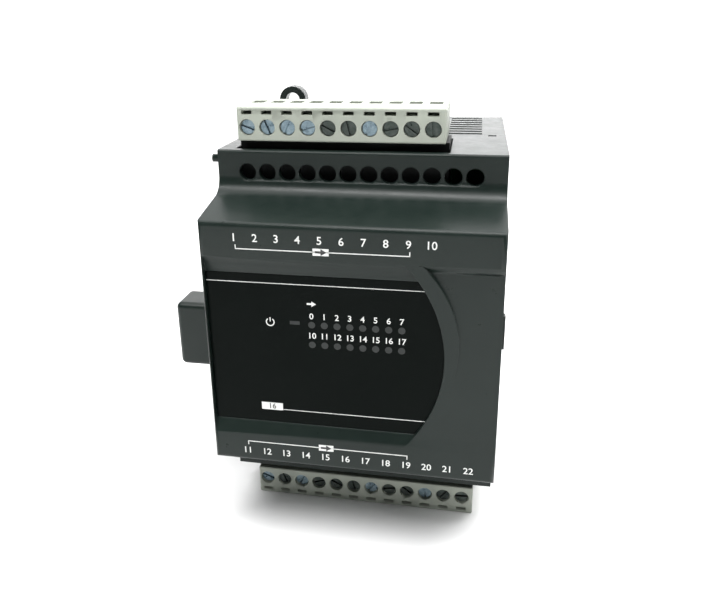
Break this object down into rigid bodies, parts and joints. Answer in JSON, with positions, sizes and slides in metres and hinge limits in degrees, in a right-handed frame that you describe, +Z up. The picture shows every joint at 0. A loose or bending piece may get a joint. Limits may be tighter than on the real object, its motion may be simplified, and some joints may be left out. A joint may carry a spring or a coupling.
{
  "type": "plc input module",
  "caption": "Rail-mounted input module: two-part dark case, tinted indicator window, and pull-off terminal plugs with slotted screws above and below.",
  "frame": {"origin": "centre of the rail seat, where the front of a 35 mm top-hat rail lies against the case", "axes": "+X right seen from the front, +Y to the back into the rail, +Z up"},
  "size_m": [0.0853, 0.078, 0.1104],
  "materials": {
    "case_plastic": "fine satin texture",
    "window_plastic": "smooth dark tint",
    "indicator_lens": "clear, unlit",
    "circuit_board": "solder mask",
    "connector_plastic": "moulded",
    "pin_metal": "tin plated",
    "clip_plastic": "moulded",
    "plug_plastic": "moulded, light grey",
    "contact_metal": "stamped",
    "screw_metal": "zinc plated",
    "clamp_metal": "zinc plated"
  },
  "bodies": {
    "case": {"front_cover": "case_plastic", "indicator_window": "window_plastic", "indicator_leds": "indicator_lens", "display_board": "circuit_board", "rear_base": "case_plastic", "io_board": "circuit_board", "pin_headers": "connector_plastic", "header_pins": "pin_metal", "bus_plug": "case_plastic", "bus_socket": "connector_plastic"},
    "rail_clip": {"din_clip": "clip_plastic"},
    "port_cover": {"port_cover": "case_plastic"},
    "top_plug": {"top_plug_housing": "plug_plastic", "top_plug_contacts": "contact_metal"},
    "bottom_plug": {"bottom_plug_housing": "plug_plastic", "bottom_plug_contacts": "contact_metal"},
    "top_screw_01": {"top_screw_01": "screw_metal"},
    "top_clamp_01": {"top_clamp_01": "clamp_metal"},
    "top_screw_02": {"top_screw_02": "screw_metal"},
    "top_clamp_02": {"top_clamp_02": "clamp_metal"},
    "top_screw_03": {"top_screw_03": "screw_metal"},
    "top_clamp_03": {"top_clamp_03": "clamp_metal"},
    "top_screw_04": {"top_screw_04": "screw_metal"},
    "top_clamp_04": {"top_clamp_04": "clamp_metal"},
    "top_screw_05": {"top_screw_05": "screw_metal"},
    "top_clamp_05": {"top_clamp_05": "clamp_metal"},
    "top_screw_06": {"top_screw_06": "screw_metal"},
    "top_clamp_06": {"top_clamp_06": "clamp_metal"},
    "top_screw_07": {"top_screw_07": "screw_metal"},
    "top_clamp_07": {"top_clamp_07": "clamp_metal"},
    "top_screw_08": {"top_screw_08": "screw_metal"},
    "top_clamp_08": {"top_clamp_08": "clamp_metal"},
    "top_screw_09": {"top_screw_09": "screw_metal"},
    "top_clamp_09": {"top_clamp_09": "clamp_metal"},
    "top_screw_10": {"top_screw_10": "screw_metal"},
    "top_clamp_10": {"top_clamp_10": "clamp_metal"},
    "bottom_screw_01": {"bottom_screw_01": "screw_metal"},
    "bottom_clamp_01": {"bottom_clamp_01": "clamp_metal"},
    "bottom_screw_02": {"bottom_screw_02": "screw_metal"},
    "bottom_clamp_02": {"bottom_clamp_02": "clamp_metal"},
    "bottom_screw_03": {"bottom_screw_03": "screw_metal"},
    "bottom_clamp_03": {"bottom_clamp_03": "clamp_metal"},
    "bottom_screw_04": {"bottom_screw_04": "screw_metal"},
    "bottom_clamp_04": {"bottom_clamp_04": "clamp_metal"},
    "bottom_screw_05": {"bottom_screw_05": "screw_metal"},
    "bottom_clamp_05": {"bottom_clamp_05": "clamp_metal"},
    "bottom_screw_06": {"bottom_screw_06": "screw_metal"},
    "bottom_clamp_06": {"bottom_clamp_06": "clamp_metal"},
    "bottom_screw_07": {"bottom_screw_07": "screw_metal"},
    "bottom_clamp_07": {"bottom_clamp_07": "clamp_metal"},
    "bottom_screw_08": {"bottom_screw_08": "screw_metal"},
    "bottom_clamp_08": {"bottom_clamp_08": "clamp_metal"},
    "bottom_screw_09": {"bottom_screw_09": "screw_metal"},
    "bottom_clamp_09": {"bottom_clamp_09": "clamp_metal"},
    "bottom_screw_10": {"bottom_screw_10": "screw_metal"},
    "bottom_clamp_10": {"bottom_clamp_10": "clamp_metal"},
    "bottom_screw_11": {"bottom_screw_11": "screw_metal"},
    "bottom_clamp_11": {"bottom_clamp_11": "clamp_metal"},
    "bottom_screw_12": {"bottom_screw_12": "screw_metal"},
    "bottom_clamp_12": {"bottom_clamp_12": "clamp_metal"}
  },
  "joints": [
    {"name": "top_plug_pull", "type": "slide", "parent": "case", "child": "top_plug", "axis": [0, 0, 1], "range_m": [0, 0.016]},
    {"name": "bottom_plug_pull", "type": "slide", "parent": "case", "child": "bottom_plug", "axis": [0, 0, -1], "range_m": [0, 0.016]},
    {"name": "rail_clip_pull", "type": "slide", "parent": "case", "child": "rail_clip", "axis": [0, 0, -1], "range_m": [0, 0.0045], "stiffness_N_per_m": 1500, "springref_m": -0.001},
    {"name": "port_cover_pull", "type": "slide", "parent": "case", "child": "port_cover", "axis": [1, 0, 0], "range_m": [0, 0.006]},
    {"name": "top_screw_01_turn", "type": "hinge", "parent": "top_plug", "child": "top_screw_01", "pos_m": [-0.0275, -0.0512, 0.0503], "axis": [0, 1, 0], "range_deg": [0, 2160]},
    {"name": "top_clamp_01_rise", "type": "slide", "parent": "top_plug", "child": "top_clamp_01", "axis": [0, -1, 0], "range_m": [0, 0.0027]},
    {"name": "top_screw_02_turn", "type": "hinge", "parent": "top_plug", "child": "top_screw_02", "pos_m": [-0.0225, -0.0512, 0.0503], "axis": [0, 1, 0], "range_deg": [0, 2160]},
    {"name": "top_clamp_02_rise", "type": "slide", "parent": "top_plug", "child": "top_clamp_02", "axis": [0, -1, 0], "range_m": [0, 0.0027]},
    {"name": "top_screw_03_turn", "type": "hinge", "parent": "top_plug", "child": "top_screw_03", "pos_m": [-0.0175, -0.0512, 0.0503], "axis": [0, 1, 0], "range_deg": [0, 2160]},
    {"name": "top_clamp_03_rise", "type": "slide", "parent": "top_plug", "child": "top_clamp_03", "axis": [0, -1, 0], "range_m": [0, 0.0027]},
    {"name": "top_screw_04_turn", "type": "hinge", "parent": "top_plug", "child": "top_screw_04", "pos_m": [-0.0125, -0.0512, 0.0503], "axis": [0, 1, 0], "range_deg": [0, 2160]},
    {"name": "top_clamp_04_rise", "type": "slide", "parent": "top_plug", "child": "top_clamp_04", "axis": [0, -1, 0], "range_m": [0, 0.0027]},
    {"name": "top_screw_05_turn", "type": "hinge", "parent": "top_plug", "child": "top_screw_05", "pos_m": [-0.0075, -0.0512, 0.0503], "axis": [0, 1, 0], "range_deg": [0, 2160]},
    {"name": "top_clamp_05_rise", "type": "slide", "parent": "top_plug", "child": "top_clamp_05", "axis": [0, -1, 0], "range_m": [0, 0.0027]},
    {"name": "top_screw_06_turn", "type": "hinge", "parent": "top_plug", "child": "top_screw_06", "pos_m": [-0.0025, -0.0512, 0.0503], "axis": [0, 1, 0], "range_deg": [0, 2160]},
    {"name": "top_clamp_06_rise", "type": "slide", "parent": "top_plug", "child": "top_clamp_06", "axis": [0, -1, 0], "range_m": [0, 0.0027]},
    {"name": "top_screw_07_turn", "type": "hinge", "parent": "top_plug", "child": "top_screw_07", "pos_m": [0.0025, -0.0512, 0.0503], "axis": [0, 1, 0], "range_deg": [0, 2160]},
    {"name": "top_clamp_07_rise", "type": "slide", "parent": "top_plug", "child": "top_clamp_07", "axis": [0, -1, 0], "range_m": [0, 0.0027]},
    {"name": "top_screw_08_turn", "type": "hinge", "parent": "top_plug", "child": "top_screw_08", "pos_m": [0.0075, -0.0512, 0.0503], "axis": [0, 1, 0], "range_deg": [0, 2160]},
    {"name": "top_clamp_08_rise", "type": "slide", "parent": "top_plug", "child": "top_clamp_08", "axis": [0, -1, 0], "range_m": [0, 0.0027]},
    {"name": "top_screw_09_turn", "type": "hinge", "parent": "top_plug", "child": "top_screw_09", "pos_m": [0.0125, -0.0512, 0.0503], "axis": [0, 1, 0], "range_deg": [0, 2160]},
    {"name": "top_clamp_09_rise", "type": "slide", "parent": "top_plug", "child": "top_clamp_09", "axis": [0, -1, 0], "range_m": [0, 0.0027]},
    {"name": "top_screw_10_turn", "type": "hinge", "parent": "top_plug", "child": "top_screw_10", "pos_m": [0.0175, -0.0512, 0.0503], "axis": [0, 1, 0], "range_deg": [0, 2160]},
    {"name": "top_clamp_10_rise", "type": "slide", "parent": "top_plug", "child": "top_clamp_10", "axis": [0, -1, 0], "range_m": [0, 0.0027]},
    {"name": "bottom_screw_01_turn", "type": "hinge", "parent": "bottom_plug", "child": "bottom_screw_01", "pos_m": [-0.0275, -0.0512, -0.0503], "axis": [0, 1, 0], "range_deg": [0, 2160]},
    {"name": "bottom_clamp_01_rise", "type": "slide", "parent": "bottom_plug", "child": "bottom_clamp_01", "axis": [0, -1, 0], "range_m": [0, 0.0027]},
    {"name": "bottom_screw_02_turn", "type": "hinge", "parent": "bottom_plug", "child": "bottom_screw_02", "pos_m": [-0.0225, -0.0512, -0.0503], "axis": [0, 1, 0], "range_deg": [0, 2160]},
    {"name": "bottom_clamp_02_rise", "type": "slide", "parent": "bottom_plug", "child": "bottom_clamp_02", "axis": [0, -1, 0], "range_m": [0, 0.0027]},
    {"name": "bottom_screw_03_turn", "type": "hinge", "parent": "bottom_plug", "child": "bottom_screw_03", "pos_m": [-0.0175, -0.0512, -0.0503], "axis": [0, 1, 0], "range_deg": [0, 2160]},
    {"name": "bottom_clamp_03_rise", "type": "slide", "parent": "bottom_plug", "child": "bottom_clamp_03", "axis": [0, -1, 0], "range_m": [0, 0.0027]},
    {"name": "bottom_screw_04_turn", "type": "hinge", "parent": "bottom_plug", "child": "bottom_screw_04", "pos_m": [-0.0125, -0.0512, -0.0503], "axis": [0, 1, 0], "range_deg": [0, 2160]},
    {"name": "bottom_clamp_04_rise", "type": "slide", "parent": "bottom_plug", "child": "bottom_clamp_04", "axis": [0, -1, 0], "range_m": [0, 0.0027]},
    {"name": "bottom_screw_05_turn", "type": "hinge", "parent": "bottom_plug", "child": "bottom_screw_05", "pos_m": [-0.0075, -0.0512, -0.0503], "axis": [0, 1, 0], "range_deg": [0, 2160]},
    {"name": "bottom_clamp_05_rise", "type": "slide", "parent": "bottom_plug", "child": "bottom_clamp_05", "axis": [0, -1, 0], "range_m": [0, 0.0027]},
    {"name": "bottom_screw_06_turn", "type": "hinge", "parent": "bottom_plug", "child": "bottom_screw_06", "pos_m": [-0.0025, -0.0512, -0.0503], "axis": [0, 1, 0], "range_deg": [0, 2160]},
    {"name": "bottom_clamp_06_rise", "type": "slide", "parent": "bottom_plug", "child": "bottom_clamp_06", "axis": [0, -1, 0], "range_m": [0, 0.0027]},
    {"name": "bottom_screw_07_turn", "type": "hinge", "parent": "bottom_plug", "child": "bottom_screw_07", "pos_m": [0.0025, -0.0512, -0.0503], "axis": [0, 1, 0], "range_deg": [0, 2160]},
    {"name": "bottom_clamp_07_rise", "type": "slide", "parent": "bottom_plug", "child": "bottom_clamp_07", "axis": [0, -1, 0], "range_m": [0, 0.0027]},
    {"name": "bottom_screw_08_turn", "type": "hinge", "parent": "bottom_plug", "child": "bottom_screw_08", "pos_m": [0.0075, -0.0512, -0.0503], "axis": [0, 1, 0], "range_deg": [0, 2160]},
    {"name": "bottom_clamp_08_rise", "type": "slide", "parent": "bottom_plug", "child": "bottom_clamp_08", "axis": [0, -1, 0], "range_m": [0, 0.0027]},
    {"name": "bottom_screw_09_turn", "type": "hinge", "parent": "bottom_plug", "child": "bottom_screw_09", "pos_m": [0.0125, -0.0512, -0.0503], "axis": [0, 1, 0], "range_deg": [0, 2160]},
    {"name": "bottom_clamp_09_rise", "type": "slide", "parent": "bottom_plug", "child": "bottom_clamp_09", "axis": [0, -1, 0], "range_m": [0, 0.0027]},
    {"name": "bottom_screw_10_turn", "type": "hinge", "parent": "bottom_plug", "child": "bottom_screw_10", "pos_m": [0.0175, -0.0512, -0.0503], "axis": [0, 1, 0], "range_deg": [0, 2160]},
    {"name": "bottom_clamp_10_rise", "type": "slide", "parent": "bottom_plug", "child": "bottom_clamp_10", "axis": [0, -1, 0], "range_m": [0, 0.0027]},
    {"name": "bottom_screw_11_turn", "type": "hinge", "parent": "bottom_plug", "child": "bottom_screw_11", "pos_m": [0.0225, -0.0512, -0.0503], "axis": [0, 1, 0], "range_deg": [0, 2160]},
    {"name": "bottom_clamp_11_rise", "type": "slide", "parent": "bottom_plug", "child": "bottom_clamp_11", "axis": [0, -1, 0], "range_m": [0, 0.0027]},
    {"name": "bottom_screw_12_turn", "type": "hinge", "parent": "bottom_plug", "child": "bottom_screw_12", "pos_m": [0.0275, -0.0512, -0.0503], "axis": [0, 1, 0], "range_deg": [0, 2160]},
    {"name": "bottom_clamp_12_rise", "type": "slide", "parent": "bottom_plug", "child": "bottom_clamp_12", "axis": [0, -1, 0], "range_m": [0, 0.0027]}
  ],
  "couplings": [
    {"joint": "top_screw_01_turn", "follows": "top_clamp_01_rise", "rad_per_m": 13963},
    {"joint": "top_screw_02_turn", "follows": "top_clamp_02_rise", "rad_per_m": 13963},
    {"joint": "top_screw_03_turn", "follows": "top_clamp_03_rise", "rad_per_m": 13963},
    {"joint": "top_screw_04_turn", "follows": "top_clamp_04_rise", "rad_per_m": 13963},
    {"joint": "top_screw_05_turn", "follows": "top_clamp_05_rise", "rad_per_m": 13963},
    {"joint": "top_screw_06_turn", "follows": "top_clamp_06_rise", "rad_per_m": 13963},
    {"joint": "top_screw_07_turn", "follows": "top_clamp_07_rise", "rad_per_m": 13963},
    {"joint": "top_screw_08_turn", "follows": "top_clamp_08_rise", "rad_per_m": 13963},
    {"joint": "top_screw_09_turn", "follows": "top_clamp_09_rise", "rad_per_m": 13963},
    {"joint": "top_screw_10_turn", "follows": "top_clamp_10_rise", "rad_per_m": 13963},
    {"joint": "bottom_screw_01_turn", "follows": "bottom_clamp_01_rise", "rad_per_m": 13963},
    {"joint": "bottom_screw_02_turn", "follows": "bottom_clamp_02_rise", "rad_per_m": 13963},
    {"joint": "bottom_screw_03_turn", "follows": "bottom_clamp_03_rise", "rad_per_m": 13963},
    {"joint": "bottom_screw_04_turn", "follows": "bottom_clamp_04_rise", "rad_per_m": 13963},
    {"joint": "bottom_screw_05_turn", "follows": "bottom_clamp_05_rise", "rad_per_m": 13963},
    {"joint": "bottom_screw_06_turn", "follows": "bottom_clamp_06_rise", "rad_per_m": 13963},
    {"joint": "bottom_screw_07_turn", "follows": "bottom_clamp_07_rise", "rad_per_m": 13963},
    {"joint": "bottom_screw_08_turn", "follows": "bottom_clamp_08_rise", "rad_per_m": 13963},
    {"joint": "bottom_screw_09_turn", "follows": "bottom_clamp_09_rise", "rad_per_m": 13963},
    {"joint": "bottom_screw_10_turn", "follows": "bottom_clamp_10_rise", "rad_per_m": 13963},
    {"joint": "bottom_screw_11_turn", "follows": "bottom_clamp_11_rise", "rad_per_m": 13963},
    {"joint": "bottom_screw_12_turn", "follows": "bottom_clamp_12_rise", "rad_per_m": 13963}
  ]
}
